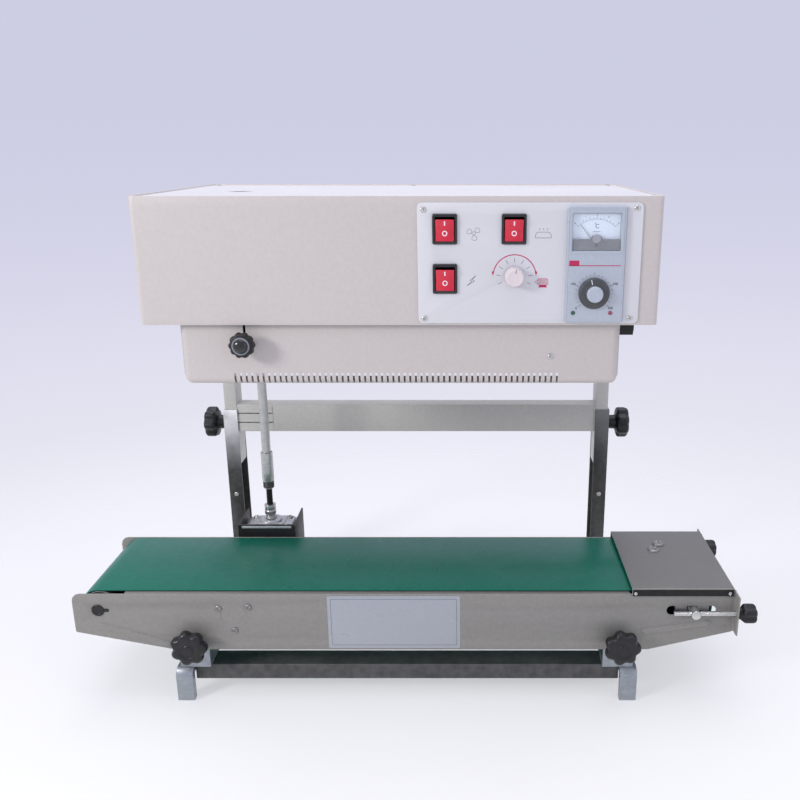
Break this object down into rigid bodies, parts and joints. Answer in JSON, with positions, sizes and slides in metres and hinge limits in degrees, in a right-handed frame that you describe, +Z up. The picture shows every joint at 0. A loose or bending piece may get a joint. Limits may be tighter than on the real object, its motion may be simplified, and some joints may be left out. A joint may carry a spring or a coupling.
{
  "type": "continuous band sealer",
  "caption": "Bench-top continuous band sealer: control head on a height-adjustable frame over a green belt conveyor on a skid stand.",
  "frame": {"origin": "centre of the bounding box's footprint, at the bench the feet stand on", "axes": "+X along the conveyor towards the bag inlet, +Y from the operator to the back, +Z up"},
  "size_m": [0.795, 0.374, 0.5905],
  "materials": {
    "paint": "satin",
    "steel": "satin",
    "galvanised": "matte",
    "stainless": "satin",
    "aluminium": "satin",
    "brass": "satin",
    "black_plastic": "satin",
    "white_plastic": "satin",
    "grey_plastic": "satin",
    "red_plastic": "gloss",
    "rubber": "matte",
    "belt_green": "gloss",
    "ptfe_cloth": "matte",
    "motor_enamel": "satin",
    "supply_case": "matte"
  },
  "bodies": {
    "base": {"skid_left": "galvanised", "skid_right": "galvanised", "front_cross_rail": "steel", "rear_cross_rail": "steel", "post_channel_left": "steel", "post_channel_right": "steel", "conveyor_bracket_left": "galvanised", "conveyor_bracket_right": "galvanised"},
    "conveyor": {"conveyor_side_front": "paint", "conveyor_side_rear": "paint", "conveyor_deck": "galvanised", "conveyor_belt": "belt_green", "end_cover": "stainless", "gearbox_bracket": "steel", "belt_gearbox": "aluminium"},
    "head": {"head_plate": "steel", "head_housing": "paint", "top_cover": "paint", "control_panel": "aluminium", "temperature_controller": "grey_plastic", "band_guard": "paint", "lift_frame": "paint", "heater_front": "brass", "heater_rear": "brass", "cooler_front": "aluminium", "cooler_rear": "aluminium", "inlet_guide": "black_plastic", "drive_motor": "motor_enamel", "fan_frame": "black_plastic", "power_unit": "supply_case", "seal_band_front": "ptfe_cloth", "seal_band_rear": "ptfe_cloth", "drive_chain": "steel"},
    "band_wheel_front_left": {"band_wheel_front_left": "rubber"},
    "band_wheel_front_right": {"band_wheel_front_right": "rubber"},
    "band_wheel_rear_left": {"band_wheel_rear_left": "rubber"},
    "band_wheel_rear_right": {"band_wheel_rear_right": "rubber"},
    "conveyor_knob_left": {"conveyor_knob_left": "black_plastic"},
    "conveyor_knob_right": {"conveyor_knob_right": "black_plastic"},
    "drive_roller": {"drive_roller": "steel"},
    "drive_shaft_lower": {"drive_shaft_lower": "steel"},
    "drive_shaft_upper": {"drive_shaft_upper": "steel"},
    "embossing_wheel": {"embossing_wheel": "steel"},
    "end_roller_left": {"end_roller_left": "steel"},
    "end_roller_right": {"end_roller_right": "steel"},
    "fan_rotor": {"fan_rotor": "black_plastic"},
    "height_knob_left": {"height_knob_left": "black_plastic"},
    "height_knob_right": {"height_knob_right": "black_plastic"},
    "meter_needle": {"meter_needle": "black_plastic"},
    "motor_pinion": {"motor_pinion": "steel"},
    "press_wheel": {"press_wheel": "rubber"},
    "pressure_knob": {"pressure_knob": "black_plastic"},
    "rocker_cooler": {"rocker_cooler": "red_plastic"},
    "rocker_heater": {"rocker_heater": "red_plastic"},
    "rocker_power": {"rocker_power": "red_plastic"},
    "speed_knob": {"speed_knob": "white_plastic"},
    "temperature_dial": {"temperature_dial": "black_plastic"},
    "tension_axle": {"tension_axle": "steel"},
    "tension_knob_front": {"tension_knob_front": "black_plastic"},
    "tension_knob_rear": {"tension_knob_rear": "black_plastic"}
  },
  "joints": [
    {"name": "head_height", "type": "slide", "parent": "base", "child": "head", "axis": [0, 0, 1], "range_m": [-0.015, 0.045]},
    {"name": "conveyor_height", "type": "slide", "parent": "base", "child": "conveyor", "axis": [0, 0, 1], "range_m": [-0.01, 0.008]},
    {"name": "height_knob_left_turn", "type": "hinge", "parent": "base", "child": "height_knob_left", "pos_m": [-0.2845, 0.127, 0.257], "axis": [-1, 0, 0], "range_deg": [0, 360]},
    {"name": "height_knob_right_turn", "type": "hinge", "parent": "base", "child": "height_knob_right", "pos_m": [0.2655, 0.127, 0.257], "axis": [1, 0, 0], "range_deg": [0, 360]},
    {"name": "conveyor_knob_left_turn", "type": "hinge", "parent": "conveyor", "child": "conveyor_knob_left", "pos_m": [-0.2615, -0.163, 0.08], "axis": [0, -1, 0], "range_deg": [0, 360]},
    {"name": "conveyor_knob_right_turn", "type": "hinge", "parent": "conveyor", "child": "conveyor_knob_right", "pos_m": [0.2425, -0.163, 0.08], "axis": [0, -1, 0], "range_deg": [0, 360]},
    {"name": "drive_roller_spin", "type": "hinge", "parent": "conveyor", "child": "drive_roller", "pos_m": [-0.2111, -0.087, 0.113], "axis": [0, 1, 0], "continuous": true},
    {"name": "end_roller_left_spin", "type": "hinge", "parent": "conveyor", "child": "end_roller_left", "pos_m": [-0.3684, -0.087, 0.1195], "axis": [0, 1, 0], "continuous": true},
    {"name": "tension_axle_slide", "type": "slide", "parent": "conveyor", "child": "tension_axle", "axis": [1, 0, 0], "range_m": [-0.004, 0]},
    {"name": "end_roller_right_spin", "type": "hinge", "parent": "tension_axle", "child": "end_roller_right", "pos_m": [0.3275, -0.087, 0.1195], "axis": [0, 1, 0], "continuous": true},
    {"name": "tension_knob_front_turn", "type": "hinge", "parent": "conveyor", "child": "tension_knob_front", "pos_m": [0.3855, -0.171, 0.1195], "axis": [1, 0, 0], "range_deg": [-5, 1445]},
    {"name": "tension_knob_rear_turn", "type": "hinge", "parent": "conveyor", "child": "tension_knob_rear", "pos_m": [0.3855, -0.003, 0.1195], "axis": [1, 0, 0], "range_deg": [-5, 1445]},
    {"name": "drive_shaft_lower_spin", "type": "hinge", "parent": "conveyor", "child": "drive_shaft_lower", "pos_m": [-0.2035, 0.017, 0.23], "axis": [0, 0, 1], "continuous": true},
    {"name": "band_wheel_front_left_spin", "type": "hinge", "parent": "head", "child": "band_wheel_front_left", "pos_m": [-0.1135, -0.11555, 0.425], "axis": [0, 0, 1], "continuous": true},
    {"name": "band_wheel_rear_left_spin", "type": "hinge", "parent": "head", "child": "band_wheel_rear_left", "pos_m": [-0.1135, -0.05045, 0.425], "axis": [0, 0, 1], "continuous": true},
    {"name": "band_wheel_front_right_spin", "type": "hinge", "parent": "head", "child": "band_wheel_front_right", "pos_m": [0.1805, -0.11555, 0.425], "axis": [0, 0, 1], "continuous": true},
    {"name": "band_wheel_rear_right_spin", "type": "hinge", "parent": "head", "child": "band_wheel_rear_right", "pos_m": [0.1805, -0.05045, 0.425], "axis": [0, 0, 1], "continuous": true},
    {"name": "embossing_wheel_spin", "type": "hinge", "parent": "head", "child": "embossing_wheel", "pos_m": [-0.1761, -0.1074, 0.425], "axis": [0, 0, 1], "continuous": true},
    {"name": "press_wheel_spin", "type": "hinge", "parent": "head", "child": "press_wheel", "pos_m": [-0.1761, -0.0586, 0.425], "axis": [0, 0, 1], "continuous": true},
    {"name": "motor_pinion_spin", "type": "hinge", "parent": "head", "child": "motor_pinion", "pos_m": [-0.1135, -0.00162, 0.475], "axis": [0, 0, 1], "continuous": true},
    {"name": "drive_shaft_upper_spin", "type": "hinge", "parent": "head", "child": "drive_shaft_upper", "pos_m": [-0.2035, 0.017, 0.35], "axis": [0, 0, 1], "continuous": true},
    {"name": "pressure_knob_turn", "type": "hinge", "parent": "head", "child": "pressure_knob", "pos_m": [-0.1761, -0.151, 0.437], "axis": [0, -1, 0], "range_deg": [-360, 360]},
    {"name": "speed_knob_turn", "type": "hinge", "parent": "head", "child": "speed_knob", "pos_m": [0.1119, -0.163, 0.5091], "axis": [0, -1, 0], "range_deg": [-135, 135]},
    {"name": "temperature_dial_turn", "type": "hinge", "parent": "head", "child": "temperature_dial", "pos_m": [0.1945, -0.1661, 0.4922], "axis": [0, -1, 0], "range_deg": [-135, 135]},
    {"name": "meter_needle_swing", "type": "hinge", "parent": "head", "child": "meter_needle", "pos_m": [0.1955, -0.1621, 0.5405], "axis": [0, 1, 0], "range_deg": [0, 76], "stiffness_Nm_per_rad": 0.00005},
    {"name": "rocker_cooler_rock", "type": "hinge", "parent": "head", "child": "rocker_cooler", "pos_m": [0.0398, -0.16, 0.5575], "axis": [1, 0, 0], "range_deg": [-18, 0]},
    {"name": "rocker_heater_rock", "type": "hinge", "parent": "head", "child": "rocker_heater", "pos_m": [0.1108, -0.16, 0.5575], "axis": [1, 0, 0], "range_deg": [-18, 0]},
    {"name": "rocker_power_rock", "type": "hinge", "parent": "head", "child": "rocker_power", "pos_m": [0.0398, -0.16, 0.5066], "axis": [1, 0, 0], "range_deg": [-18, 0]},
    {"name": "fan_rotor_spin", "type": "hinge", "parent": "head", "child": "fan_rotor", "pos_m": [-0.201, -0.021, 0.58], "axis": [0, 0, 1], "continuous": true}
  ],
  "couplings": [
    {"joint": "tension_knob_front_turn", "follows": "tension_axle_slide", "rad_per_m": -6283.2},
    {"joint": "tension_knob_rear_turn", "follows": "tension_axle_slide", "rad_per_m": -6283.2},
    {"joint": "band_wheel_front_left_spin", "follows": "drive_roller_spin", "ratio": -0.69159},
    {"joint": "band_wheel_rear_left_spin", "follows": "drive_roller_spin", "ratio": 0.69159},
    {"joint": "band_wheel_front_right_spin", "follows": "drive_roller_spin", "ratio": -0.69159},
    {"joint": "band_wheel_rear_right_spin", "follows": "drive_roller_spin", "ratio": 0.69159},
    {"joint": "end_roller_left_spin", "follows": "drive_roller_spin", "ratio": 1},
    {"joint": "end_roller_right_spin", "follows": "drive_roller_spin", "ratio": 1},
    {"joint": "embossing_wheel_spin", "follows": "drive_roller_spin", "ratio": -0.925},
    {"joint": "press_wheel_spin", "follows": "drive_roller_spin", "ratio": 0.925},
    {"joint": "motor_pinion_spin", "follows": "drive_roller_spin", "ratio": -1.3832},
    {"joint": "drive_shaft_upper_spin", "follows": "drive_roller_spin", "ratio": -1.3832},
    {"joint": "drive_shaft_lower_spin", "follows": "drive_roller_spin", "ratio": -1.3832}
  ]
}
